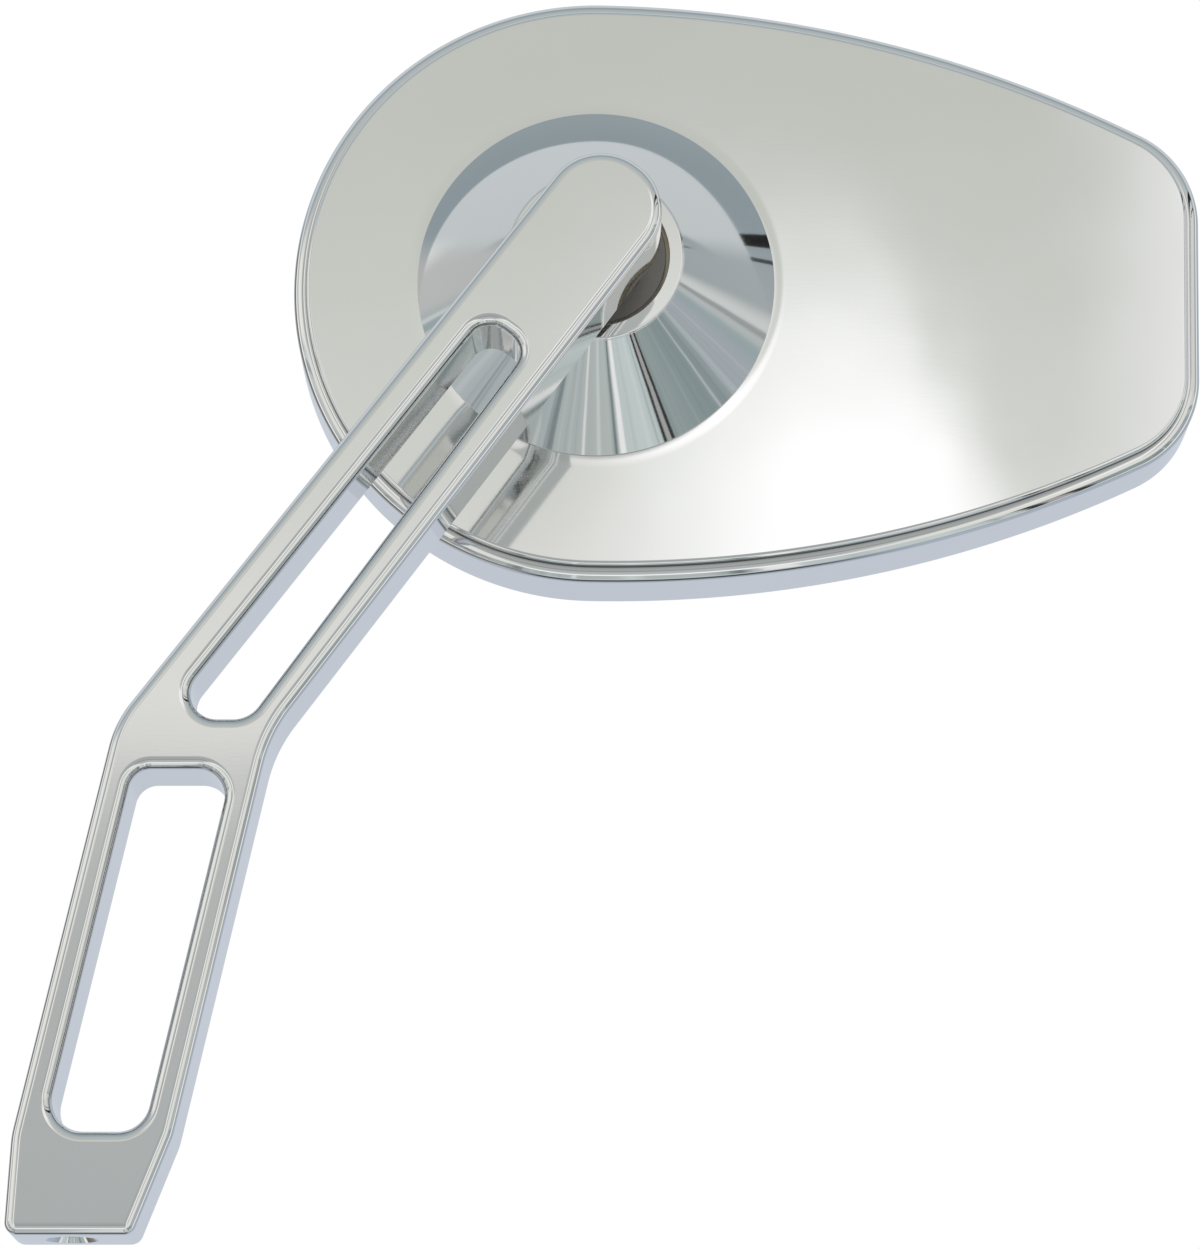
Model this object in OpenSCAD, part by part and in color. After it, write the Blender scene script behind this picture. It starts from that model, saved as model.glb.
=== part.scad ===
// Polished billet mirror for a motorcycle handlebar, seen from behind:
// a bent, slotted arm carries a teardrop head on a ball joint.
//
// X runs to the right, Y away from the viewer, Z up. The origin is the middle of the
// arm's flat foot, at the mouth of the hole that takes the handlebar stem.

/* [Arm] */
// Thickness of the arm, front to back
arm_thickness = 16; // [13:0.5:20]
// Radius along every edge of the arm
arm_edge_r = 1.8; // [1:0.1:2.4]
// Length of the lower leg, from the foot to the elbow
lower_length = 82.2; // [70:0.2:100]
// Lean of the lower leg from upright, in degrees
lower_lean = 12.5; // [8:0.5:16]
// Width of the lower leg
lower_width = 24.6; // [22:0.2:28]
// Length of the upper leg, from the elbow to the ball stud
upper_length = 106.5; // [95:0.5:120]
// Lean of the upper leg from upright, in degrees
upper_lean = 36.9; // [30:0.5:44]
// Width of the upper leg at the elbow
upper_width_elbow = 21; // [19.5:0.2:24]
// Width of the upper leg at the ball stud
upper_width_end = 19.4; // [18.5:0.1:21]
// How far the centre of the rounded end lies past the ball stud
end_overrun = 1.6; // [0:0.1:3]

/* [Foot] */
// Width of the flat foot
foot_width = 20; // [18:0.5:24]
// Height at which the foot starts to narrow
foot_height = 15.5; // [12:0.5:18]
// Wall radius of the tapped hole for the stem
stem_hole_r = 3.4; // [2.5:0.1:5]
// Depth of the tapped hole for the stem
stem_hole_depth = 11.5; // [8:0.5:12]

/* [Slots] */
// Width of the lower slot
lower_slot_width = 15.2; // [12:0.2:17]
// Height of the lower slot's floor above the foot
lower_slot_floor = 16.1; // [15:0.1:24]
// Metal left between the two slots at the elbow
elbow_bridge = 8.1; // [6:0.1:14]
// Width of the upper slot at its far end
upper_slot_width_end = 8; // [6:0.2:10]
// Width of the upper slot at the elbow
upper_slot_width_elbow = 11; // [8:0.2:12]
// Metal left between the ball stud's axis and the upper slot
upper_slot_gap = 24.2; // [16:0.2:40]
// How far the lower slot's top edge lies below the elbow
lower_slot_drop = 6.5; // [5:0.1:9]
// How much further the upper slot spreads to its right than to its left
slot_shift = 0.8; // [0:0.1:1.2]

/* [Ball joint] */
// Radius of the ball
ball_r = 9.5; // [8.5:0.1:10]
// Radius of the stud's neck
neck_r = 4.5; // [3.5:0.1:4.8]
// Radius of the stud's threaded shank
shank_r = 4; // [3:0.1:4.5]
// Length of the shank in the arm
shank_length = 10; // [7:0.5:12]
// Radius of the stud's flange
flange_r = 7.4; // [6:0.1:8]
// Thickness of the stud's flange
flange_thickness = 1.3; // [1:0.1:1.6]
// Thickness of the washer under the flange
washer_thickness = 0.8; // [0.5:0.1:1]
// Wall of the liner round the ball
liner_wall = 1; // [0.8:0.1:1.2]
// Gap at each round face of the ball joint
ball_gap = 0.15; // [0.1:0.05:0.2]
// Radius of the opening in the upper seat
seat_opening_r = 8.5; // [8:0.1:9]

/* [Hub] */
// Space between the arm and the hub's lip
standoff = 5; // [4.5:0.5:9]
// Height of the hub from the head to its lip
hub_height = 16; // [15:0.2:18]
// Radius of the hub's base
hub_base_r = 30.3; // [29:0.1:34]
// Outer radius of the hub's lip
hub_lip_r = 14.8; // [14:0.1:15.5]
// Radius of the hub's mouth
hub_mouth_r = 11.7; // [11.6:0.1:12.4]
// Thickness of the lip's wall
hub_lip_wall = 2.2; // [2:0.1:2.6]
// Height of the plain band round the hub's base
hub_band = 0.9; // [0.6:0.1:1.4]
// How far the upper seat sits inside the lip
seat_recess = 0.6; // [0.4:0.1:1]
// Radius of the bore that holds the seats
hub_bore_r = 13.8; // [13.4:0.1:14.4]
// Radius of the spigot that centres the hub in the head
spigot_r = 20; // [19.5:0.1:20.5]
// Radius of the circle of the hub's screws
hub_screw_circle_r = 23.5; // [23.4:0.1:24]
// Radius of the circle of the pressure plate's screws
plate_screw_circle_r = 17; // [16.6:0.1:17.2]
// Radius of the small screws
screw_r = 1.5; // [1:0.1:1.6]
// Thickness of each disc spring
disc_spring_wall = 0.8; // [0.5:0.1:0.9]
// Thickness of the pressure plate
pressure_plate_wall = 2; // [1.5:0.1:3]

/* [Head] */
// Outer radius of the head's round end
head_end_r = 51.4; // [48:0.2:60]
// Distance from the hub's axis to the head's straight end
head_reach = 102.6; // [90:0.5:120]
// Radius of the head's long sides
head_side_r = 208; // [190:1:240]
// Radius of the two corners at the straight end
head_corner_r = 17.5; // [15:0.5:20]
// How far the head's straight end hangs below level at rest, in degrees
head_droop = 1.2; // [0:0.1:3]
// Depth of the head, back face to front edge
head_depth = 16.4; // [15:0.2:20]
// Radius of the small round next to the back face
rim_lip_r = 0.8; // [0.6:0.1:1]
// Height of the step below that round
rim_step = 0.7; // [0.5:0.1:1]
// Radius of the large round above the side wall
rim_round_r = 2.2; // [1.8:0.1:2.4]
// Thickness of the head's back wall
head_back_wall = 4; // [3.5:0.1:4.5]
// Thickness of the head's side wall at the glass
head_side_wall = 2.4; // [2:0.1:3]
// Width of the ledge that the backing plate rests on
ledge_width = 3; // [2:0.1:4]

/* [Glass] */
// Thickness of the mirror glass
glass_thickness = 3; // [2:0.1:3.5]
// How far the glass sits below the front edge
glass_recess = 0.5; // [0.3:0.1:1]
// Thickness of the adhesive pad
pad_thickness = 0.8; // [0.5:0.1:1]
// Thickness of the backing plate
backing_thickness = 1.5; // [1:0.1:2]
// Width of the seal round the glass
seal_width = 1; // [0.8:0.1:1.5]

/* [Hidden] */
$fn = 96;

// Clearance of a turning fit, and of parts laid against each other
fit = 0.05;
// Overshoot of a cut past the face that it opens
cut = 1;

// The arm's centreline in the XZ plane: foot, elbow, ball stud, end
function heading(lean) = [sin(lean), cos(lean)];
function leftward(lean) = [-cos(lean), sin(lean)];
foot = [0, 0];
elbow = lower_length * heading(lower_lean);
stud = elbow + upper_length * heading(upper_lean);
arm_end = stud + end_overrun * heading(upper_lean);

// Steps round each corner of the arm and its slots, and degrees a step over their edges
round_steps = 8;
edge_step = 22.5;

// Radii of the corners of the arm's outline, and of the slots
foot_corner_flat = 0.2;
foot_corner_r = arm_edge_r + foot_corner_flat;
foot_left_r = 16;
foot_right_r = 12;
elbow_left_r = 18;
elbow_right_r = 24;
end_corner_r = 0.97 * upper_width_end / 2;
slot_floor_r = 5;
slot_left_r = 3.6;
slot_right_r = 4.4;
slot_elbow_r = 4.2;
slot_end_r = 0.46 * upper_slot_width_end;

// Depths along Y, counted from the middle of the arm
arm_rear = arm_thickness / 2;
lip_face = arm_rear + standoff;
seat_face = lip_face + seat_recess;
liner_inner_r = ball_r + ball_gap;
liner_outer_r = liner_inner_r + liner_wall;
seat_sphere_r = liner_outer_r + ball_gap;
ball_centre = seat_face + sqrt(pow(seat_sphere_r, 2) - pow(seat_opening_r, 2));
head_back = lip_face + hub_height;
head_floor = head_back + head_back_wall;
head_front = head_back + head_depth;
glass_front = head_front - glass_recess;
glass_back = glass_front - glass_thickness;
pad_back = glass_back - pad_thickness;
ledge_depth = pad_back - backing_thickness;

// The ball's far side is flat, this much short of its full radius
ball_flat = 1;
// The liner reaches this far before and behind the ball's centre
liner_near = 6;
liner_far = 7;
// The seats meet near the ball's centre with this gap between them
seat_split = 0.5;
seat_overhang = 0.7;
lower_seat_end = ball_centre + liner_far + seat_overhang;
disc_spring_rise = 0.6;
disc_spring_height = disc_spring_wall + disc_spring_rise;
disc_spring_inner_r = 8.8;
plate_boss = lower_seat_end + fit + 2 * disc_spring_height;
plate_opening_r = disc_spring_inner_r - 1.5;
// Round on the outside of the hub's lip
lip_round = 1.1;
// Chamfer on the inside of the lip
mouth_chamfer = 0.6;

// Screws: heads, sockets, how deep the two sets go in, and the room at their tips
screw_head_r = 1.8 * screw_r;
screw_head_height = 1.2 * screw_r;
screw_socket_r = 0.8 * screw_r;
screw_tip_room = 0.4;
hub_screw_bite = 3.6;
plate_screw_bite = 6;

// The head's outline: the long sides leave the round end at its top and bottom
side_centre = [0, head_end_r - head_side_r];
corner_x = head_reach - head_corner_r;
corner_y = sqrt(pow(head_side_r - head_corner_r, 2) - pow(corner_x, 2)) + side_centre[1];
corner = [corner_x, corner_y];
corner_angle = atan2(corner_y - side_centre[1], corner_x);
rim_flare = rim_lip_r + rim_round_r;
rim_drop = rim_lip_r + rim_step + rim_round_r;
// Steps along the outline's corner, side and half of its round end
corner_steps = 12;
side_steps = 16;
end_steps = 24;

function unit(v) = v / norm(v);
function turn(v, w) = (atan2(w[1], w[0]) - atan2(v[1], v[0]) + 900) % 360 - 180;

// Points on a round of radius r at corner b, between its neighbours a and c, each paired
// with the direction that leads out of a clockwise outline there
function corner_round(a, b, c, r) =
    let (u = unit(a - b), w = unit(c - b), half = acos(u * w) / 2,
         reach = r / tan(half), centre = b + unit(u + w) * r / sin(half),
         from = b + u * reach - centre, sweep = turn(from, b + w * reach - centre),
         start = atan2(from[1], from[0]), side = sweep < 0 ? 1 : -1)
    [for (i = [0:round_steps])
        let (angle = start + sweep * i / round_steps, out = [cos(angle), sin(angle)])
        [centre + r * out, side * out]];

// A clockwise outline whose corners are given as [point, radius]
function rounded(corners) =
    let (n = len(corners))
    [for (i = [0:n - 1])
        each corner_round(corners[(i + n - 1) % n][0], corners[i][0], corners[(i + 1) % n][0],
                          corners[i][1])];

// Where the line through a and b meets the line through c and d
function crossing(a, b, c, d) =
    let (r = b - a, s = d - c, t = cross(c - a, s) / cross(r, s)) a + t * r;

// Where the line through a and b reaches a given height
function at_height(a, b, z) = a + (b - a) * (z - a[1]) / (b[1] - a[1]);

// Side lines of the two legs, as pairs of points; side is 1 for left and -1 for right
function leg_line(from, lean, from_half, to, to_half, side) =
    [from + side * from_half * leftward(lean), to + side * to_half * leftward(lean)];
function lower_line(side, half) = leg_line(foot, lower_lean, half, elbow, half, side);
function upper_line(side, elbow_half, end_half) =
    leg_line(elbow, upper_lean, elbow_half, arm_end, end_half, side);
function meet(p, q) = crossing(p[0], p[1], q[0], q[1]);

function arm_outline() =
    let (left_low = lower_line(1, lower_width / 2),
         right_low = lower_line(-1, lower_width / 2),
         left_up = upper_line(1, upper_width_elbow / 2, upper_width_end / 2),
         right_up = upper_line(-1, upper_width_elbow / 2, upper_width_end / 2),
         tip = arm_end + upper_width_end / 2 * heading(upper_lean),
         tip_line = [tip, tip + leftward(upper_lean)])
    rounded([
        [[-foot_width / 2, 0], foot_corner_r],
        [at_height(left_low[0], left_low[1], foot_height), foot_left_r],
        [meet(left_low, left_up), elbow_left_r],
        [meet(left_up, tip_line), end_corner_r],
        [meet(right_up, tip_line), end_corner_r],
        [meet(right_up, right_low), elbow_right_r],
        [at_height(right_low[0], right_low[1], foot_height), foot_right_r],
        [[foot_width / 2, 0], foot_corner_r]
    ]);

function lower_slot_outline() =
    let (left = lower_line(1, lower_slot_width / 2),
         right = lower_line(-1, lower_slot_width / 2),
         top = elbow[1] - lower_slot_drop)
    rounded([
        [at_height(left[0], left[1], lower_slot_floor), slot_floor_r],
        [at_height(left[0], left[1], top), slot_left_r],
        [at_height(right[0], right[1], top), slot_right_r],
        [at_height(right[0], right[1], lower_slot_floor), slot_floor_r]
    ]);

function upper_slot_outline() =
    let (left = upper_line(1, upper_slot_width_elbow / 2 - slot_shift, upper_slot_width_end / 2),
         right = upper_line(-1, upper_slot_width_elbow / 2 + slot_shift, upper_slot_width_end / 2),
         floor_z = elbow[1] - lower_slot_drop + elbow_bridge,
         end = stud - upper_slot_gap * heading(upper_lean),
         end_line = [end, end + leftward(upper_lean)])
    rounded([
        [at_height(left[0], left[1], floor_z), slot_elbow_r],
        [meet(left, end_line), slot_end_r],
        [meet(right, end_line), slot_end_r],
        [at_height(right[0], right[1], floor_z), slot_floor_r]
    ]);

// An outline at a depth, grown by off
function ring(outline, depth, off) =
    [for (p = outline) let (q = p[0] + off * p[1]) [q[0], depth, q[1]]];

// The round over an edge, as [depth below the face, offset from the outline] pairs
edge_bend = [for (a = [90:-edge_step:0]) arm_edge_r * [1 - sin(a), cos(a) - 1]];

// Rings from the arm's front face to its rear face, bent the same way at both
function through(outline, bend) = concat(
    [for (p = bend) ring(outline, p[0] - arm_rear, p[1])],
    [for (i = [len(bend) - 1:-1:0]) ring(outline, arm_rear - bend[i][0], bend[i][1])]
);

// Faces of a ladder across an outline of n points, whose rungs join its two halves
function ladder(n) =
    let (half = floor(n / 2))
    concat([for (i = [0:half - 2]) [i, i + 1, n - 2 - i, n - 1 - i]],
           n % 2 == 0 ? [] : [[half - 1, half, half + 1]]);

// A solid through rings of equal length, front to rear
module loft(rings) {
    n = len(rings[0]);
    last = (len(rings) - 1) * n;
    polyhedron(
        points = [for (r = rings) each r],
        faces = concat(
            ladder(n),
            [for (face = ladder(n)) [for (i = [len(face) - 1:-1:0]) last + face[i]]],
            [for (start = [0:n:last - n], i = [0:n - 1])
                let (next = (i + 1) % n)
                [start + i, start + n + i, start + n + next, start + next]]
        )
    );
}

// A slot whose edges flare the other way, drawn on past both faces
module slot(outline) {
    flare = [for (p = edge_bend) [p[0], -p[1]]];
    mouth = 2 * flare[0] - flare[1];
    loft(through(outline, concat([mouth], [for (i = [1:len(flare) - 1]) flare[i]])));
}

// Places a shape whose own axis is Z on the hub's axis, at a depth
module on_hub(depth) {
    translate([stud[0], depth, stud[1]]) rotate([-90, 0, 0]) children();
}

module arm() {
    color([0.80, 0.82, 0.83])
    difference() {
        loft(through(arm_outline(), edge_bend));
        slot(lower_slot_outline());
        slot(upper_slot_outline());
        translate([0, 0, -cut]) cylinder(h = stem_hole_depth + cut, r = stem_hole_r);
        on_hub(arm_rear - shank_length - fit)
            cylinder(h = shank_length + fit + cut, r = shank_r + fit);
    }
}

module ball_stud() {
    shank_start = ball_centre - arm_rear + shank_length;
    flange_near = ball_centre - arm_rear - washer_thickness;
    color([0.62, 0.58, 0.52])
    on_hub(ball_centre)
        rotate_extrude() {
            difference() {
                circle(ball_r);
                translate([-2 * ball_r, -ball_r]) square([2 * ball_r, 2 * ball_r]);
                translate([0, ball_r - ball_flat]) square([ball_r, ball_r]);
            }
            translate([0, -flange_near]) square([neck_r, flange_near]);
            translate([0, -flange_near]) square([flange_r, flange_thickness]);
            translate([0, -shank_start]) square([shank_r, shank_start - flange_near]);
        }
}

module stud_washer() {
    color([0.70, 0.70, 0.70])
    on_hub(arm_rear) difference() {
        cylinder(h = washer_thickness, r = flange_r);
        translate([0, 0, -cut]) cylinder(h = washer_thickness + 2 * cut, r = shank_r + fit);
    }
}

module ball_liner() {
    color([0.20, 0.20, 0.20])
    on_hub(ball_centre)
        rotate_extrude() intersection() {
            difference() {
                circle(liner_outer_r);
                circle(liner_inner_r);
            }
            translate([0, -liner_near]) square([2 * ball_r, liner_near + liner_far]);
        }
}

// Half section of a seat between two depths, hollowed by the seat's sphere
module seat_section(near, far) {
    difference() {
        translate([0, near - ball_centre]) square([hub_bore_r - 2 * fit, far - near]);
        circle(seat_sphere_r);
    }
}

module upper_seat() {
    collar_end = lip_face + hub_lip_wall + fit;
    color([0.27, 0.26, 0.25])
    on_hub(ball_centre)
        rotate_extrude() {
            difference() {
                translate([0, seat_face - ball_centre]) square([hub_mouth_r - fit, collar_end - seat_face]);
                circle(seat_sphere_r);
            }
            seat_section(collar_end, ball_centre - seat_split / 2);
        }
}

module lower_seat() {
    color([0.27, 0.26, 0.25])
    on_hub(ball_centre)
        rotate_extrude() seat_section(ball_centre + seat_split / 2, lower_seat_end);
}

module hub_cone() {
    core_r = hub_mouth_r / 2;
    color([0.78, 0.80, 0.82])
    on_hub(lip_face) difference() {
        union() {
            rotate_extrude() {
                polygon([
                    [core_r, 0], [hub_lip_r - lip_round, 0],
                    [hub_lip_r, lip_round], [hub_base_r, hub_height - hub_band],
                    [hub_base_r, hub_height], [core_r, hub_height]
                ]);
                translate([hub_lip_r - lip_round, lip_round]) circle(lip_round);
            }
            translate([0, 0, hub_height]) cylinder(h = head_back_wall, r = spigot_r - fit);
        }
        translate([0, 0, -cut]) cylinder(h = hub_lip_wall + 2 * cut, r = hub_mouth_r);
        translate([0, 0, mouth_chamfer - hub_mouth_r])
            cylinder(h = hub_mouth_r, r1 = 2 * hub_mouth_r, r2 = hub_mouth_r);
        translate([0, 0, hub_lip_wall])
            cylinder(h = hub_height + head_back_wall, r = hub_bore_r);
        hub_screw_places() translate([0, 0, hub_height - hub_screw_bite - screw_tip_room])
            cylinder(h = hub_screw_bite + screw_tip_room + cut, r = screw_r + fit);
        plate_screw_places()
            translate([0, 0, hub_height + head_back_wall - plate_screw_bite - screw_tip_room])
            cylinder(h = plate_screw_bite + screw_tip_room + cut, r = screw_r + fit);
    }
}

// Copies of a shape on a circle about the hub's axis
module ring_of(count, radius, first_angle) {
    for (i = [0:count - 1])
        rotate([0, 0, first_angle + i * 360 / count]) translate([radius, 0, 0]) children();
}

module hub_screw_places() {
    ring_of(4, hub_screw_circle_r, 45) children();
}

module plate_screw_places() {
    ring_of(3, plate_screw_circle_r, 90) children();
}

// A round-headed screw: the head's seat is at 0 and the shank runs back from it
module screw(length) {
    translate([0, 0, -length]) cylinder(h = length, r = screw_r);
    difference() {
        cylinder(h = screw_head_height, r = screw_head_r);
        translate([0, 0, screw_head_height / 2])
            cylinder(h = screw_head_height, r = screw_socket_r, $fn = 6);
    }
}

module hub_screws() {
    color([0.45, 0.46, 0.48])
    on_hub(head_floor) hub_screw_places() screw(head_back_wall + hub_screw_bite);
}

module plate_screws() {
    color([0.45, 0.46, 0.48])
    on_hub(head_floor + pressure_plate_wall) plate_screw_places()
        screw(pressure_plate_wall + plate_screw_bite);
}

module pressure_plate() {
    boss_height = head_floor - plate_boss;
    color([0.55, 0.56, 0.58])
    on_hub(plate_boss) difference() {
        union() {
            cylinder(h = boss_height + fit, r = hub_bore_r - 2 * fit);
            translate([0, 0, boss_height]) cylinder(h = pressure_plate_wall, r = spigot_r);
        }
        translate([0, 0, -cut])
            cylinder(h = boss_height + pressure_plate_wall + 2 * cut, r = plate_opening_r);
        translate([0, 0, boss_height - cut]) plate_screw_places()
            cylinder(h = pressure_plate_wall + 2 * cut, r = screw_r + 2 * fit);
    }
}

// Half section of a coned disc spring, wide end at 0 and narrow end at its full height
module disc_spring_section() {
    outer = hub_bore_r - 4 * fit;
    polygon([
        [outer, 0], [outer, disc_spring_wall],
        [disc_spring_inner_r, disc_spring_height], [disc_spring_inner_r, disc_spring_rise]
    ]);
}

module disc_spring_near() {
    color([0.60, 0.60, 0.62])
    on_hub(lower_seat_end + fit) rotate_extrude() disc_spring_section();
}

module disc_spring_far() {
    color([0.60, 0.60, 0.62])
    on_hub(plate_boss) mirror([0, 0, 1]) rotate_extrude() disc_spring_section();
}

// Points along a clockwise arc, without its first, each paired with the way out
function arc(centre, r, from, to, steps) =
    [for (i = [1:steps])
        let (angle = from + (to - from) * i / steps, out = [cos(angle), sin(angle)])
        [centre + r * out, out]];
function upside_down(p) = [[p[0][0], -p[0][1]], [p[1][0], -p[1][1]]];
function drooped(v) = [
    v[0] * cos(head_droop) + v[1] * sin(head_droop),
    v[1] * cos(head_droop) - v[0] * sin(head_droop)
];

// The head's outline about the hub's axis, clockwise from the tip of its round end
function head_points() =
    let (upper = concat(
        arc([0, 0], head_end_r, 180, 90, end_steps),
        arc(side_centre, head_side_r, 90, corner_angle, side_steps),
        arc(corner, head_corner_r, corner_angle, 0, corner_steps)
    ))
    [for (p = concat([[[-head_end_r, 0], [-1, 0]]], upper,
                     [for (i = [len(upper) - 1:-1:0]) upside_down(upper[i])]))
        [drooped(p[0]), drooped(p[1])]];

// The head's outline in the hub's plane, whose second axis points down, grown by off
module head_outline(off) {
    polygon([for (p = head_points()) let (q = p[0] + off * p[1]) [q[0], -q[1]]]);
}

// The rim from the back face to the front edge, as offsets from the outline and depths
function rim_profile() = concat(
    [for (a = [90:-edge_step:0]) [rim_lip_r * cos(a) - rim_flare, rim_lip_r * (1 - sin(a))]],
    [for (a = [90:-edge_step:0]) [rim_round_r * (cos(a) - 1), rim_drop - rim_round_r * sin(a)]],
    [[0, head_depth]]
);

module head_housing() {
    color([0.80, 0.82, 0.83])
    difference() {
        translate([stud[0], head_back, stud[1]])
            loft([for (p = rim_profile()) ring(head_points(), p[1], p[0])]);
        on_hub(ledge_depth) linear_extrude(head_depth) head_outline(-head_side_wall);
        on_hub(head_floor) linear_extrude(head_depth)
            head_outline(-head_side_wall - ledge_width);
        on_hub(head_back - cut) {
            cylinder(h = head_back_wall + 2 * cut, r = spigot_r);
            hub_screw_places() cylinder(h = head_back_wall + 2 * cut, r = screw_r + 2 * fit);
        }
    }
}

module backing_plate() {
    color([0.30, 0.31, 0.33])
    on_hub(ledge_depth) linear_extrude(backing_thickness) head_outline(-head_side_wall - 2 * fit);
}

module adhesive_pad() {
    color([0.12, 0.12, 0.12])
    on_hub(pad_back) linear_extrude(pad_thickness)
        head_outline(-head_side_wall - seal_width - 2 * fit);
}

module mirror_glass() {
    color([0.72, 0.80, 0.84])
    on_hub(glass_back) linear_extrude(glass_thickness)
        head_outline(-head_side_wall - seal_width - 2 * fit);
}

module glass_seal() {
    color([0.10, 0.10, 0.10])
    on_hub(pad_back) linear_extrude(glass_front - pad_back) difference() {
        head_outline(-head_side_wall - fit);
        head_outline(-head_side_wall - seal_width);
    }
}

arm();
ball_stud();
stud_washer();
ball_liner();
upper_seat();
lower_seat();
hub_cone();
head_housing();
hub_screws();
pressure_plate();
plate_screws();
disc_spring_near();
disc_spring_far();
backing_plate();
adhesive_pad();
mirror_glass();
glass_seal();
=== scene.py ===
import math
import bpy
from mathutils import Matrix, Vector
from mathutils.geometry import tessellate_polygon


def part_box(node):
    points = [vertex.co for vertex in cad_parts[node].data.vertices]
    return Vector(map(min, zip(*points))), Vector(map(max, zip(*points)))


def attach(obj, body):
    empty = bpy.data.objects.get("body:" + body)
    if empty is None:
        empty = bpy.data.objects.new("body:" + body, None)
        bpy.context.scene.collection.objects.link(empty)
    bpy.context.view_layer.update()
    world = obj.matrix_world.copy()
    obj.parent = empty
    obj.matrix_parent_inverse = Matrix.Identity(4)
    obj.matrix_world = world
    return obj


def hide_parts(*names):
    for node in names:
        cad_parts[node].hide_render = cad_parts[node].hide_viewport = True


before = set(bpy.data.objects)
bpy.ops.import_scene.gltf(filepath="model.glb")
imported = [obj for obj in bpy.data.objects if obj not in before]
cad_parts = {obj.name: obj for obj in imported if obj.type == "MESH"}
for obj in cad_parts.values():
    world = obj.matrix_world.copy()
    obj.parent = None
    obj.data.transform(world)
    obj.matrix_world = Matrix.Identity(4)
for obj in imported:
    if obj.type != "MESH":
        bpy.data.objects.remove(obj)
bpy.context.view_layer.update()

# Lengths are in metres, and those of the shapes are given in millimetres
MM = 0.001

# The arm, as in the part
ARM_THICKNESS = 16 * MM
ARM_EDGE_R = 1.8 * MM
LOWER_LENGTH = 82.2 * MM
LOWER_LEAN = math.radians(12.5)
LOWER_WIDTH = 24.6 * MM
UPPER_LENGTH = 106.5 * MM
UPPER_LEAN = math.radians(36.9)
UPPER_WIDTH_ELBOW = 21 * MM
UPPER_WIDTH_END = 19.4 * MM
END_OVERRUN = 1.6 * MM
FOOT_WIDTH = 20 * MM
FOOT_HEIGHT = 15.5 * MM
STEM_HOLE_R = 3.4 * MM
STEM_THREAD_R = 4 * MM
STEM_HOLE_DEPTH = 11.5 * MM
STEM_PITCH = 1.25 * MM
SHANK_R = 4 * MM
SHANK_LENGTH = 10 * MM
# Radii of the corners of its outline
FOOT_CORNER_R = ARM_EDGE_R + 0.2 * MM
FOOT_LEFT_R = 16 * MM
FOOT_RIGHT_R = 12 * MM
ELBOW_LEFT_R = 18 * MM
ELBOW_RIGHT_R = 24 * MM
ARM_END_CORNER_R = 0.97 * UPPER_WIDTH_END / 2

# The slots through the arm
LOWER_SLOT_WIDTH = 15.2 * MM
LOWER_SLOT_FLOOR = 16.1 * MM
LOWER_SLOT_DROP = 6.5 * MM
LOWER_SLOT_FLOOR_R = 5 * MM
LOWER_SLOT_TOP_LEFT_R = 3.6 * MM
LOWER_SLOT_TOP_RIGHT_R = 4.4 * MM
ELBOW_BRIDGE = 8.1 * MM
UPPER_SLOT_WIDTH_END = 8 * MM
UPPER_SLOT_WIDTH_ELBOW = 11 * MM
UPPER_SLOT_GAP = 24.2 * MM
UPPER_SLOT_END_R = 0.46 * UPPER_SLOT_WIDTH_END
UPPER_SLOT_FLOOR_LEFT_R = 4.2 * MM
UPPER_SLOT_FLOOR_RIGHT_R = 5 * MM
SLOT_SHIFT = 0.8 * MM

# The head, and the hub on its back
HEAD_END_R = 51.4 * MM
HEAD_REACH = 102.6 * MM
HEAD_SIDE_R = 208 * MM
HEAD_CORNER_R = 17.5 * MM
HEAD_DROOP = math.radians(1.2)
HEAD_DEPTH = 16.4 * MM
HEAD_BACK_WALL = 4 * MM
HEAD_SIDE_WALL = 2.4 * MM
LEDGE_WIDTH = 3 * MM
RIM_LIP_R = 0.8 * MM
RIM_STEP = 0.7 * MM
RIM_ROUND_R = 2.2 * MM
SPIGOT_R = 20 * MM
HUB_HEIGHT = 16 * MM
HUB_BASE_R = 30.3 * MM
HUB_LIP_R = 14.8 * MM
HUB_MOUTH_R = 11.7 * MM
HUB_LIP_WALL = 2.2 * MM
HUB_BORE_R = 13.8 * MM
MOUTH_CHAMFER = 0.6 * MM
FIT = 0.05 * MM

# Small breaks on edges that the part leaves sharp
EDGE_BREAK = 0.25 * MM
CREASE_R = 0.12 * MM
# Where two rounds would touch, the share of its full size that one of them gets
NEARLY_FULL = 0.98
# A profile that starts with a round has a short straight piece before it, this share of it
SHORT_START = 0.01
# The plating is heaped a little round the hub's base
HALO_WIDTH = 2 * MM
HALO_RISE = 0.04 * MM
# The cone runs out in narrow edges, and swells slightly between them
CONE_EDGE = 0.45 * MM
CONE_START = 0.55 * MM
CONE_START_R = 0.95 * CONE_START
CONE_SWELL = math.radians(2)

# Smoothness of the replaced surfaces
CORNER_STEPS = 24
SIDE_STEPS = 40
END_STEPS = 72
HALO_STEPS = 6
THREAD_STEPS = 48
SHANK_STEPS = 64
SPIGOT_STEPS = 128
HUB_STEPS = 192
ROUND_STEP = math.radians(9)
# Rows of faces in each turn of the thread, and where the thread fades out at its end
THREAD_ROWS = 10
FADE_ROWS = 6
# How steeply the flanks of a turn rise, so that some of the wall stays plain
FLANK_SLOPE = 1.25
# Rings that agree to this many places of a metre are one ring
SAME_PLACES = 9
# Points no higher than this lie in the foot's plane
NO_HEIGHT = 1e-6
# Triangles of less than half of this area, in square metres, are left out of flat faces
NO_AREA = 1e-13

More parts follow.
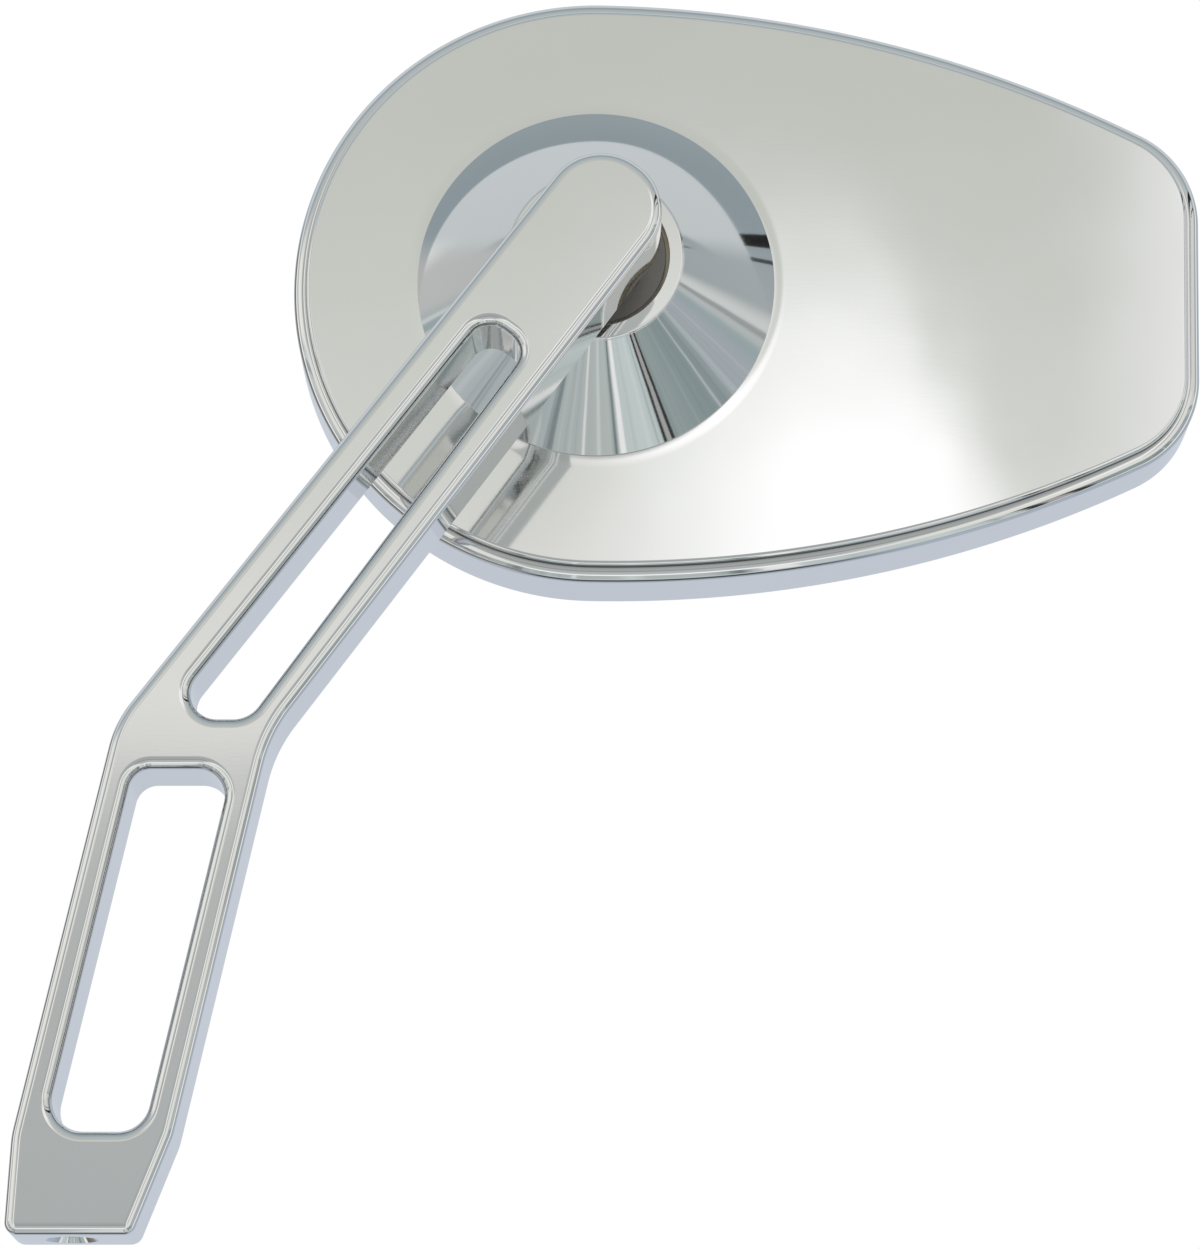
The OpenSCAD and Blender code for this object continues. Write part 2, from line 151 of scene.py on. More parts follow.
# Camera: the photo looks up at the mirror, square to its back
VIEW_RISE = math.radians(13.7)
CAMERA_DISTANCE = 0.8333
CAMERA_LENS = 150
CAMERA_SENSOR = 36
CAMERA_NEAR = 0.01
CAMERA_TARGET = Vector((82.439, 28.4, 105.838)) * MM


# Points and outlines in the XZ plane

def heading(lean):
    return Vector((math.sin(lean), math.cos(lean)))


def leftward(lean):
    return Vector((-math.cos(lean), math.sin(lean)))


def crossing(line, other):
    """Where two lines meet, each given by two points."""
    r = line[1] - line[0]
    s = other[1] - other[0]
    return line[0] + r * ((other[0] - line[0]).cross(s) / r.cross(s))


def at_height(line, z):
    """The point of a line at one height."""
    start, end = line
    return start + (end - start) * ((z - start.y) / (end.y - start.y))


def side_line(start, end, lean, start_half, end_half, side):
    """One side of a leg of the arm: the left with side 1, the right with side -1."""
    way = leftward(lean) * side
    return start + way * start_half, end + way * end_half


def corner_round(a, b, c, r):
    """Points on a round at corner b, each with the way out of a clockwise outline."""
    u = (a - b).normalized()
    w = (c - b).normalized()
    half = math.acos(u.dot(w)) / 2
    centre = b + (u + w).normalized() * (r / math.sin(half))
    start = b + u * (r / math.tan(half)) - centre
    stop = b + w * (r / math.tan(half)) - centre
    sweep = math.atan2(start.cross(stop), start.dot(stop))
    side = 1 if sweep < 0 else -1
    first = math.atan2(start.y, start.x)
    made = []
    for i in range(CORNER_STEPS + 1):
        angle = first + sweep * i / CORNER_STEPS
        out = Vector((math.cos(angle), math.sin(angle)))
        made.append((centre + out * r, out * side))
    return made


def rounded(corners):
    """A clockwise outline from (corner, radius) pairs."""
    count = len(corners)
    outline = []
    for i, (corner, radius) in enumerate(corners):
        before = corners[i - 1][0]
        after = corners[(i + 1) % count][0]
        outline += corner_round(before, corner, after, radius)
    return outline


def arc(centre, r, start, stop, steps):
    """Points along an arc, without its first, each with the way out."""
    made = []
    for i in range(1, steps + 1):
        angle = math.radians(start + (stop - start) * i / steps)
        out = Vector((math.cos(angle), math.sin(angle)))
        made.append((centre + out * r, out))
    return made


def circle(centre, r, steps):
    return arc(centre, r, 360, 0, steps)


FOOT = Vector((0, 0))
ELBOW = heading(LOWER_LEAN) * LOWER_LENGTH
STUD = ELBOW + heading(UPPER_LEAN) * UPPER_LENGTH
ARM_END = STUD + heading(UPPER_LEAN) * END_OVERRUN
SLOT_TOP = ELBOW.y - LOWER_SLOT_DROP


def lower_line(side, half):
    return side_line(FOOT, ELBOW, LOWER_LEAN, half, half, side)


def upper_line(side, elbow_half, end_half):
    return side_line(ELBOW, ARM_END, UPPER_LEAN, elbow_half, end_half, side)


def arm_outline():
    left_low = lower_line(1, LOWER_WIDTH / 2)
    right_low = lower_line(-1, LOWER_WIDTH / 2)
    left_up = upper_line(1, UPPER_WIDTH_ELBOW / 2, UPPER_WIDTH_END / 2)
    right_up = upper_line(-1, UPPER_WIDTH_ELBOW / 2, UPPER_WIDTH_END / 2)
    tip = ARM_END + heading(UPPER_LEAN) * UPPER_WIDTH_END / 2
    tip_line = (tip, tip + leftward(UPPER_LEAN))
    return rounded([
        (Vector((-FOOT_WIDTH / 2, 0)), FOOT_CORNER_R),
        (at_height(left_low, FOOT_HEIGHT), FOOT_LEFT_R),
        (crossing(left_low, left_up), ELBOW_LEFT_R),
        (crossing(left_up, tip_line), ARM_END_CORNER_R),
        (crossing(right_up, tip_line), ARM_END_CORNER_R),
        (crossing(right_up, right_low), ELBOW_RIGHT_R),
        (at_height(right_low, FOOT_HEIGHT), FOOT_RIGHT_R),
        (Vector((FOOT_WIDTH / 2, 0)), FOOT_CORNER_R),
    ])


def lower_slot_outline():
    left = lower_line(1, LOWER_SLOT_WIDTH / 2)
    right = lower_line(-1, LOWER_SLOT_WIDTH / 2)
    return rounded([
        (at_height(left, LOWER_SLOT_FLOOR), LOWER_SLOT_FLOOR_R),
        (at_height(left, SLOT_TOP), LOWER_SLOT_TOP_LEFT_R),
        (at_height(right, SLOT_TOP), LOWER_SLOT_TOP_RIGHT_R),
        (at_height(right, LOWER_SLOT_FLOOR), LOWER_SLOT_FLOOR_R),
    ])


def upper_slot_outline():
    half_elbow = UPPER_SLOT_WIDTH_ELBOW / 2
    half_end = UPPER_SLOT_WIDTH_END / 2
    left = upper_line(1, half_elbow - SLOT_SHIFT, half_end)
    right = upper_line(-1, half_elbow + SLOT_SHIFT, half_end)
    end = STUD - heading(UPPER_LEAN) * UPPER_SLOT_GAP
    end_line = (end, end + leftward(UPPER_LEAN))
    floor = SLOT_TOP + ELBOW_BRIDGE
    return rounded([
        (at_height(left, floor), UPPER_SLOT_FLOOR_LEFT_R),
        (crossing(left, end_line), UPPER_SLOT_END_R),
        (crossing(right, end_line), UPPER_SLOT_END_R),
        (at_height(right, floor), UPPER_SLOT_FLOOR_RIGHT_R),
    ])


def head_outline():
    """The teardrop, clockwise from the tip of its round end, about the hub's axis."""
    side_centre = Vector((0, HEAD_END_R - HEAD_SIDE_R))
    corner_x = HEAD_REACH - HEAD_CORNER_R
    corner_y = math.sqrt((HEAD_SIDE_R - HEAD_CORNER_R) ** 2 - corner_x ** 2) + side_centre.y
    angle = math.degrees(math.atan2(corner_y - side_centre.y, corner_x))
    upper = arc(Vector((0, 0)), HEAD_END_R, 180, 90, END_STEPS)
    upper += arc(side_centre, HEAD_SIDE_R, 90, angle, SIDE_STEPS)
    upper += arc(Vector((corner_x, corner_y)), HEAD_CORNER_R, angle, 0, CORNER_STEPS)
    flip = Vector((1, -1))
    lower = [(p * flip, n * flip) for p, n in reversed(upper)]
    outline = [(Vector((-HEAD_END_R, 0)), Vector((-1, 0)))] + upper + lower
    return [(drooped(p) + STUD, drooped(n)) for p, n in outline]


def drooped(v):
    c, s = math.cos(HEAD_DROOP), math.sin(HEAD_DROOP)
    return Vector((v.x * c + v.y * s, v.y * c - v.x * s))


def add(name, data):
    """Puts an object with this data into the scene."""
    made = bpy.data.objects.new(name, data)
    bpy.context.scene.collection.objects.link(made)
    return made


# Profiles: a path of (offset, depth, corner radius), with the metal on its left

def profile(corners):
    """Bands of (offset, depth, normal offset, normal depth), a new band at each sharp corner."""
    bands = [[]]

    def push(point, normal):
        bands[-1].append((point.x, point.y, normal.x, normal.y))

    def right_of(direction):
        return Vector((direction.y, -direction.x))

    points = [Vector(c[:2]) for c in corners]
    last = len(corners) - 1
    push(points[0], right_of((points[1] - points[0]).normalized()))
    for i in range(1, last):
        before = (points[i] - points[i - 1]).normalized()
        after = (points[i + 1] - points[i]).normalized()
        r = corners[i][2]
        if r == 0:
            push(points[i], right_of(before))
            bands.append([])
            push(points[i], right_of(after))
            continue
        turn = math.atan2(before.cross(after), before.dot(after))
        side = 1 if turn > 0 else -1
        start = points[i] - before * r * math.tan(abs(turn) / 2)
        normal = right_of(before)
        centre = start - normal * side * r
        steps = max(2, math.ceil(abs(turn) / ROUND_STEP))
        for k in range(steps + 1):
            a = turn * k / steps
            spun = Vector((normal.x * math.cos(a) - normal.y * math.sin(a),
                           normal.x * math.sin(a) + normal.y * math.cos(a)))
            push(centre + spun * side * r, spun)
    push(points[last], right_of((points[last] - points[last - 1]).normalized()))
    return bands


class Surface:
    """A mesh in the making, with the true normal of every face corner."""

    def __init__(self, start=0):
        """Outlines lie in the XZ plane at first, and depth runs along Y from the start."""
        self.points = []
        self.faces = []
        self.normals = []
        self.aim((0, start, 0), (1, 0, 0), (0, 0, 1), (0, 1, 0))

    def aim(self, origin, across, up, deep):
        """Sets the plane of the outlines that follow, and the way that depth runs."""
        self.origin = Vector(origin)
        self.across = Vector(across)
        self.up = Vector(up)
        self.deep = Vector(deep)

    def ring(self, outline, offset, depth):
        first = len(self.points)
        for point, out in outline:
            p = point + out * offset
            self.points.append(self.origin + self.across * p.x + self.up * p.y
                               + self.deep * depth)
        return list(range(first, len(self.points)))

    def ring_normals(self, outline, across, deep):
        return [(self.across * out.x + self.up * out.y) * across + self.deep * deep
                for _, out in outline]

    def face(self, corners, normals):
        a, b, c = (self.points[i] for i in corners[:3])
        if (b - a).cross(c - a).dot(sum(normals, Vector())) < 0:
            corners = corners[::-1]
            normals = normals[::-1]
        self.faces.append(corners)
        self.normals += normals

    def strip(self, low, high, low_normals, high_normals):
        """A row of faces between two rings."""
        count = len(low)
        for i in range(count):
            j = (i + 1) % count
            self.face([low[i], low[j], high[j], high[i]],
                      [low_normals[i], low_normals[j], high_normals[j], high_normals[i]])

    def loft(self, outline, bands):
        """Carries a profile round an outline. Gives back the first and last rings."""
        first = ring = at = old_normals = None
        for band in bands:
            for k, (offset, depth, across, deep) in enumerate(band):
                normals = self.ring_normals(outline, across, deep)
                here = (round(offset, SAME_PLACES), round(depth, SAME_PLACES))
                if here != at:
                    new_ring = self.ring(outline, offset, depth)
                    if k > 0:
                        self.strip(ring, new_ring, old_normals, normals)
                    ring = new_ring
                first = first or ring
                at, old_normals = here, normals
        return first, ring

    def cap(self, loops, normal):
        """Fills a flat face whose first loop is its outside and the others its holes."""
        a = normal.orthogonal().normalized()
        b = normal.cross(a)
        flat = [[Vector((self.points[i].dot(a), self.points[i].dot(b), 0)) for i in loop]
                for loop in loops]
        order = [i for loop in loops for i in loop]
        for triangle in tessellate_polygon(flat):
            corners = [order[i] for i in triangle]
            start, one, other = (self.points[i] for i in corners)
            if (one - start).cross(other - start).length > NO_AREA:
                self.face(corners, [normal] * 3)

    def make(self, name, finish, body, node):
        """Turns the surface into a piece that rides with a body in the place of a node."""
        mesh = bpy.data.meshes.new(name)
        mesh.from_pydata(self.points, [], self.faces)
        for polygon in mesh.polygons:
            polygon.use_smooth = True
        mesh.normals_split_custom_set([n.normalized() for n in self.normals])
        mesh.materials.append(finish)
        piece = add(name, mesh)
        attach(piece, body)
        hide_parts(node)


# Materials

# Grains are (waves a metre, detail)
METAL_TONE_GRAIN = (35, 3)
METAL_GLOSS_GRAIN = (60, 4)
MATTE_TONE_GRAIN = (90, 4)
MATTE_DETAIL = 3
# The head's step: how much of it the painted shade fills, and the tone of that painted shade
STEP_SHADE_SHARE = 0.9
STEP_PAINTED_SHADE = (0.07, 0.07, 0.07)
# The ball, whose rings are given in radians a metre
BALL_TONE_GRAIN = (400, 3)
BALL_METALLIC = 0.35
BALL_ROUGHNESS = 0.45
RING_WAVES = 16000
RING_HEIGHT = 0.004 * MM
# The glass
GLASS_TONE_GRAIN = (12, 2)
GLASS_GLOSS_GRAIN = (25, 3)
GLASS_ROUGHNESS = (0.0, 0.02)
GLASS_COAT = 0.5
GLASS_COAT_ROUGHNESS = 0.02


class Shader:
    """A node material or world under construction."""

    def __init__(self, tree):
        self.tree = tree

    def node(self, kind, settings=None, **inputs):
        """A node with its settings; inputs go by name, or by number as _0, _1 and so on."""
        made = self.tree.nodes.new(kind)
        for key, value in (settings or {}).items():
            setattr(made, key, value)
        for key, value in inputs.items():
            place = int(key[1:]) if key[0] == "_" else key.replace("_", " ")
            self.join(value, made.inputs[place])
        return made

    def join(self, value, socket):
        """Links a socket's value, or sets a plain one."""
        if isinstance(value, bpy.types.NodeSocket):
            self.tree.links.new(value, socket)
        else:
            socket.default_value = value

    def math(self, operation, *values):
        inputs = {f"_{i}": v for i, v in enumerate(values)}
        return self.node("ShaderNodeMath", {"operation": operation}, **inputs).outputs[0]

    def ramp(self, value, stops):
        made = self.node("ShaderNodeValToRGB", Fac=value)
        made.color_ramp.interpolation = "EASE"
        while len(made.color_ramp.elements) < len(stops):
            made.color_ramp.elements.new(1)
        for element, (place, colour) in zip(made.color_ramp.elements, stops):
            element.position = place
            element.color = (*colour, 1)
        return made.outputs["Color"]

    def mix(self, factor, a, b):
        """From colour a to colour b; a mix node has its colours in sockets 6, 7 and 2."""
        a, b = ((*c, 1) if isinstance(c, tuple) else c for c in (a, b))
        made = self.node("ShaderNodeMix", {"data_type": "RGBA"}, _0=factor, _6=a, _7=b)
        return made.outputs[2]

    def product(self, *factors):
        made = factors[0]
        for factor in factors[1:]:
            made = self.math("MULTIPLY", made, factor)
        return made

    def noise(self, vector, scale, detail):
        return self.node("ShaderNodeTexNoise", Vector=vector, Scale=scale,
                         Detail=detail).outputs["Fac"]

    def bump(self, wave, height, below=None):
        """Relief of a wave, on top of the relief below it."""
        made = self.node("ShaderNodeBump", Height=wave, Strength=1.0, Distance=height)
        if below is not None:
            self.join(below, made.inputs["Normal"])
        return made.outputs["Normal"]

    def step(self, value, start, end):
        """From 0 to 1, softly, as the value goes from start to end."""
        return self.node("ShaderNodeMapRange", {"interpolation_type": "SMOOTHSTEP"},
                         Value=value, From_Min=start, From_Max=end).outputs[0]

    def spread(self, value, low, high):
        """A noise value, stretched over the range from low to high."""
        return self.node("ShaderNodeMapRange", Value=value, To_Min=low,
                         To_Max=high).outputs[0]

    def rays(self):
        """Whether a ray comes from the camera, and whether it's a reflected or bent one."""
        ray = self.node("ShaderNodeLightPath").outputs
        bent = self.math("MAXIMUM", ray["Is Glossy Ray"], ray["Is Transmission Ray"])
        return ray["Is Camera Ray"], bent


def material(name, build, *settings):
    """A node material whose surface the build function makes from its settings."""
    made = bpy.data.materials.new(name)
    made.use_nodes = True
    made.node_tree.nodes.clear()
    shader = Shader(made.node_tree)
    where = shader.node("ShaderNodeTexCoord").outputs["Object"]
    surface = build(shader, where, *settings)
    shader.node("ShaderNodeOutputMaterial", Surface=surface.outputs["BSDF"])
    return made


def metal(shader, where, dark, light, roughness, bumps):
    """Metal with slow tone and gloss changes; bumps are (grain along each axis, height)."""
    tone = shader.mix(shader.noise(where, *METAL_TONE_GRAIN), dark, light)
    gloss = shader.spread(shader.noise(where, *METAL_GLOSS_GRAIN), *roughness)
    relief = None
    for grain, height in bumps:
        stretched = shader.node("ShaderNodeMapping", Vector=where, Scale=grain)
        wave = shader.noise(stretched.outputs["Vector"], 1, 1)
        relief = shader.bump(wave, height, relief)
    return shader.node("ShaderNodeBsdfPrincipled", Base_Color=tone, Metallic=1.0,
                       Roughness=gloss, Normal=relief)


def head_with_step_shade(shader, where, *settings):
    """Metal, with painted shade: a near-black band painted into the rim's step, where shade
    falls.
    """
    made = metal(shader, where, *settings)
    depth = shader.node("ShaderNodeSeparateXYZ", Vector=where).outputs["Y"]
    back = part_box("head_housing")[0].y
    start = back + STEP_SHADE_SHARE * RIM_LIP_R
    end = back + RIM_LIP_R + STEP_SHADE_SHARE * RIM_STEP
    # Painted shade: this mask is one across the rim's step, where the metal's tone gives way to
    # the painted shade
    clear = shader.product(shader.step(depth, start - 2 * CREASE_R, start),
                           shader.step(depth, end + CREASE_R, end))
    bright = made.inputs["Base Color"].links[0].from_socket
    shader.join(shader.mix(clear, bright, STEP_PAINTED_SHADE), made.inputs["Base Color"])
    return made


def matte(shader, where, dark, light, roughness, grain, height):
    tone = shader.mix(shader.noise(where, *MATTE_TONE_GRAIN), dark, light)
    relief = shader.bump(shader.noise(where, grain, MATTE_DETAIL), height)
    return shader.node("ShaderNodeBsdfPrincipled", Base_Color=tone, Roughness=roughness,
                       Normal=relief)


def turned(shader, where, dark, light):
    """Darkened steel with the fine rings that a lathe leaves round the hub's axis."""
    centre = (STUD.x, 0, STUD.y)
    offset = shader.node("ShaderNodeVectorMath", {"operation": "SUBTRACT"},
                         _0=where, _1=centre)
    flat = shader.node("ShaderNodeVectorMath", {"operation": "MULTIPLY"},
                       _0=offset.outputs[0], _1=(1, 0, 1))
    reach = shader.node("ShaderNodeVectorMath", {"operation": "LENGTH"}, _0=flat.outputs[0])
    rings = shader.math("SINE", shader.math("MULTIPLY", reach.outputs["Value"], RING_WAVES))
    tone = shader.mix(shader.noise(where, *BALL_TONE_GRAIN), dark, light)
    return shader.node("ShaderNodeBsdfPrincipled", Base_Color=tone, Metallic=BALL_METALLIC,
                       Roughness=BALL_ROUGHNESS, Normal=shader.bump(rings, RING_HEIGHT))


def silvered(shader, where, dark, light):
    tone = shader.mix(shader.noise(where, *GLASS_TONE_GRAIN), dark, light)
    gloss = shader.spread(shader.noise(where, *GLASS_GLOSS_GRAIN), *GLASS_ROUGHNESS)
    return shader.node("ShaderNodeBsdfPrincipled", Base_Color=tone, Metallic=1.0,
                       Roughness=gloss, Coat_Weight=GLASS_COAT,
                       Coat_Roughness=GLASS_COAT_ROUGHNESS)


# Each has a dark tone, a light tone, its roughness and its relief
POLISH = ((0.80, 0.80, 0.79), (0.85, 0.86, 0.86), (0.035, 0.075), [
    ((45, 45, 45), 0.03 * MM), ((400, 2600, 2600), 0.0004 * MM)
])
CHROME = material("polished_metal", metal, *POLISH)
# The head's chrome carries a band of painted shade in the rim's step
HEAD_CHROME_STEP_SHADE = material("head_with_step_shade", head_with_step_shade, *POLISH)
BALL = material("ball_steel", turned, (0.46, 0.38, 0.27), (0.60, 0.53, 0.42))
PLATED = material("plated_steel", metal, (0.50, 0.51, 0.53), (0.62, 0.63, 0.66), (0.22, 0.4),
                  [((600, 600, 600), 0.01 * MM)])
SPRING = material("spring_steel", metal, (0.30, 0.30, 0.32), (0.42, 0.42, 0.44), (0.3, 0.45),
                  [((900, 900, 900), 0.008 * MM)])
LINER = material("liner_plastic", matte, (0.016, 0.016, 0.016), (0.03, 0.03, 0.03), 0.4, 2500,
                 0.01 * MM)
SEAT = material("seat_plastic", matte, (0.14, 0.13, 0.118), (0.175, 0.165, 0.15), 0.5, 3000,
                0.02 * MM)
BACKING = material("backing_plastic", matte, (0.02, 0.02, 0.02), (0.035, 0.035, 0.035), 0.6,
                   1800, 0.03 * MM)
PAD = material("foam_pad", matte, (0.012, 0.012, 0.012), (0.03, 0.03, 0.03), 0.9, 4000,
               0.1 * MM)
SEAL = material("seal_rubber", matte, (0.010, 0.010, 0.010), (0.018, 0.018, 0.018), 0.5, 2200,
                0.03 * MM)
GLASS = material("mirror_glass", silvered, (0.86, 0.88, 0.88), (0.88, 0.90, 0.90))

NODE_MATERIALS = {
    "ball_stud": BALL,
    "stud_washer": PLATED,
    "ball_liner": LINER,
    "upper_seat": SEAT,
    "lower_seat": SEAT,
    "hub_screws": PLATED,
    "pressure_plate": PLATED,
    "plate_screws": PLATED,
    "disc_spring_near": SPRING,
    "disc_spring_far": SPRING,
    "backing_plate": BACKING,
    "adhesive_pad": PAD,
    "mirror_glass": GLASS,
    "glass_seal": SEAL,
}


def dress_nodes():
    for name, made in NODE_MATERIALS.items():
        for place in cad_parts[name].material_slots:
            place.material = made


# The arm

def stem_thread(surface):
    """The tapped hole in the foot: its mouth, the thread's turns and its flat end."""
    rows = THREAD_ROWS * math.ceil(STEM_HOLE_DEPTH / STEM_PITCH)
    surface.aim((0, 0, 0), (1, 0, 0), (0, 1, 0), (0, 0, 1))
    mouth_r = STEM_THREAD_R + EDGE_BREAK
    mouth_depth = mouth_r - STEM_HOLE_R
    mouth = circle(Vector((0, 0)), mouth_r, THREAD_STEPS)
    loop = surface.ring(mouth, 0, 0)
    old = loop
    for row in range(rows + 1):
        depth = mouth_depth + (STEM_HOLE_DEPTH - mouth_depth) * row / rows
        fade = min(1, row / THREAD_ROWS, (rows - row) / FADE_ROWS)
        here = []
        for i, (_, out) in enumerate(mouth):
            phase = (depth / STEM_PITCH + i / THREAD_STEPS) % 1
            deep = max(0, 1 - abs(2 * phase - 1) * FLANK_SLOPE) * fade
            r = STEM_HOLE_R + (STEM_THREAD_R - STEM_HOLE_R) * deep
            here.append(len(surface.points))
            surface.points.append(Vector((out.x * r, out.y * r, depth)))
        surface.strip(old, here, *thread_normals(surface, mouth, old, here))
        old = here
    surface.cap([old], Vector((0, 0, -1)))
    return loop


def thread_normals(surface, mouth, low, high):
    """Normals of one row of the hole's wall, from the slope between its two rings."""
    made = []
    for (_, out), a, b in zip(mouth, low, high):
        along = surface.points[b] - surface.points[a]
        inward = Vector((-out.x, -out.y, 0))
        made.append((inward - along * (inward.dot(along) / along.length_squared)).normalized())
    return made, made


def make_arm():
    """The arm's faces, edges, slots and both of its holes."""
    surface = Surface()
    rear = ARM_THICKNESS / 2
    front_normal = Vector((0, -1, 0))
    rear_normal = Vector((0, 1, 0))
    inset = ARM_EDGE_R + SHORT_START * ARM_EDGE_R
    front, back = surface.loft(arm_outline(), profile([
        (-inset, -rear, 0), (0, -rear, ARM_EDGE_R), (0, rear, ARM_EDGE_R), (-inset, rear, 0)
    ]))
    # The foot's flat face gives way to one with the mouth of the hole in it
    foot_face = max(range(len(surface.faces)), key=lambda i: foot_area(surface, i))
    corners = surface.faces[foot_face]
    start = sum(len(f) for f in surface.faces[:foot_face])
    del surface.faces[foot_face]
    del surface.normals[start:start + len(corners)]
    surface.cap([corners, stem_thread(surface)], Vector((0, 0, -1)))
    surface.aim((0, 0, 0), (1, 0, 0), (0, 0, 1), (0, 1, 0))
    front_loops = [front]
    rear_loops = [back]
    slot_bands = profile([
        (ARM_EDGE_R, rear, 0), (0, rear, ARM_EDGE_R), (0, -rear, ARM_EDGE_R),
        (ARM_EDGE_R, -rear, 0)
    ])
    for slot in (lower_slot_outline(), upper_slot_outline()):
        rear_loop, front_loop = surface.loft(slot, slot_bands)
        front_loops.append(front_loop)
        rear_loops.append(rear_loop)
    hole_r = SHANK_R + FIT
    mouth, end = surface.loft(circle(STUD, 0, SHANK_STEPS), profile([
        (hole_r, rear, 0), (hole_r, rear - SHANK_LENGTH, 0)
    ]))
    surface.cap([end], rear_normal)
    rear_loops.append(mouth)
    surface.cap(front_loops, front_normal)
    surface.cap(rear_loops, rear_normal)
    surface.make("arm_polished", CHROME, "arm", "arm")


def foot_area(surface, index):
    """How much of a face lies in the plane of the foot."""
    points = [surface.points[i] for i in surface.faces[index]]
    if any(abs(p.z) > NO_HEIGHT for p in points):
        return 0
    return (points[1] - points[0]).length * (points[2] - points[1]).length


# The head's housing

def make_housing():
    """The head's shell, from its back over the rim to the ledge and floor for the glass."""
    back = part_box("head_housing")[0].y
    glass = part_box("backing_plate")[0].y - back
    surface = Surface(back)
    outline = head_outline()
    flare = RIM_LIP_R + RIM_ROUND_R
    step = RIM_LIP_R + RIM_STEP
    inner = HEAD_SIDE_WALL + LEDGE_WIDTH
    rim = profile([
        (-flare - EDGE_BREAK, 0, 0), (-RIM_ROUND_R, 0, RIM_LIP_R),
        (-RIM_ROUND_R, step, CREASE_R), (0, step, RIM_ROUND_R), (0, HEAD_DEPTH, EDGE_BREAK),
        (-HEAD_SIDE_WALL, HEAD_DEPTH, EDGE_BREAK), (-HEAD_SIDE_WALL, glass, 0),
        (-inner, glass, 0), (-inner, HEAD_BACK_WALL, 0)
    ])
    back_loop, floor_loop = surface.loft(outline, rim)
    floor_hole, back_hole = surface.loft(circle(STUD, 0, SPIGOT_STEPS), profile([
        (SPIGOT_R, HEAD_BACK_WALL, 0), (SPIGOT_R, 0, 0), (HUB_BASE_R + FIT, 0, 0),
        (HUB_BASE_R + FIT, -HALO_RISE, 0)
    ]) + [halo_band()])
    surface.cap([back_loop, back_hole], Vector((0, -1, 0)))
    surface.cap([floor_loop, floor_hole], Vector((0, 1, 0)))
    surface.make("head_polished", HEAD_CHROME_STEP_SHADE, "head", "head_housing")


def halo_band():
    """A shallow swelling of the head's back round the hub, as a band of a profile."""
    band = []
    for i in range(HALO_STEPS + 1):
        t = i / HALO_STEPS
        rise = HALO_RISE * (1 - t) ** 2
        slope = 2 * HALO_RISE * (1 - t) / HALO_WIDTH
        out = Vector((slope, -1)).normalized()
        band.append((HUB_BASE_R + FIT + HALO_WIDTH * t, -rise, out.x, out.y))
    return band


# The hub

def make_hub():
    """The hub, from its bore round the lip and down the cone to the spigot."""
    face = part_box("hub_cone")[0].y
    surface = Surface(face)
    spigot_end = HUB_HEIGHT + HEAD_BACK_WALL
    top = Vector((HUB_LIP_R, CONE_START))
    base = Vector((HUB_BASE_R, HUB_HEIGHT - CONE_EDGE))
    half = (base - top) / 2
    middle = top + half + Vector((half.y, -half.x)) * math.tan(CONE_SWELL)
    swell_r = NEARLY_FULL * half.length / math.tan(CONE_SWELL)
    hub = profile([
        (HUB_BORE_R, spigot_end, 0), (HUB_BORE_R, HUB_LIP_WALL, 0),
        (HUB_MOUTH_R, HUB_LIP_WALL, 0), (HUB_MOUTH_R, MOUTH_CHAMFER, CREASE_R),
        (HUB_MOUTH_R + MOUTH_CHAMFER, 0, EDGE_BREAK), (HUB_LIP_R, 0, CONE_START_R),
        (*top, 0), (*middle, swell_r), (*base, EDGE_BREAK), (HUB_BASE_R, HUB_HEIGHT, 0),
        (SPIGOT_R - FIT, HUB_HEIGHT, 0), (SPIGOT_R - FIT, spigot_end, 0),
        (HUB_BORE_R, spigot_end, 0)
    ])
    surface.loft(circle(STUD, 0, HUB_STEPS), hub)
    surface.make("hub_polished", CHROME, "head", "hub_cone")


# Stage, light and camera

# The light tent, by the angle over the object from behind the viewer (0) up to the zenith
# (90), down the white backdrop (180), and below the floor's edge (-90)
TENT_OVER = [
    (-180, (0.46, 0.52, 0.62)),
    (-140, (0.45, 0.51, 0.61)),
    (-130, (0.30, 0.33, 0.35)),
    (-122, (0.05, 0.06, 0.07)),
    (-110, (0.08, 0.09, 0.10)),
    (-104, (0.60, 0.63, 0.64)),
    (-72, (0.80, 0.81, 0.81)),
    (-63, (1.15, 1.15, 1.13)),
    (-55, (1.10, 1.10, 1.08)),
    (-48, (0.52, 0.54, 0.55)),
    (-30, (0.50, 0.52, 0.52)),
    (-23, (0.30, 0.31, 0.31)),
    (-16, (0.42, 0.44, 0.44)),
    (5, (0.43, 0.46, 0.46)),
    (8, (0.50, 0.52, 0.52)),
    (11.6, (0.54, 0.55, 0.54)),
    (13.0, (0.92, 0.91, 0.88)),
    (14.2, (0.82, 0.82, 0.79)),
    (16, (0.72, 0.73, 0.69)),
    (20, (0.63, 0.64, 0.60)),
    (30, (0.57, 0.58, 0.56)),
    (60, (0.46, 0.52, 0.55)),
    (76, (0.34, 0.40, 0.44)),
    (88.5, (0.34, 0.40, 0.44)),
    (90, (0.62, 0.66, 0.67)),
    (120, (0.66, 0.70, 0.72)),
    (150, (0.50, 0.55, 0.65)),
    (180, (0.46, 0.52, 0.62)),
]
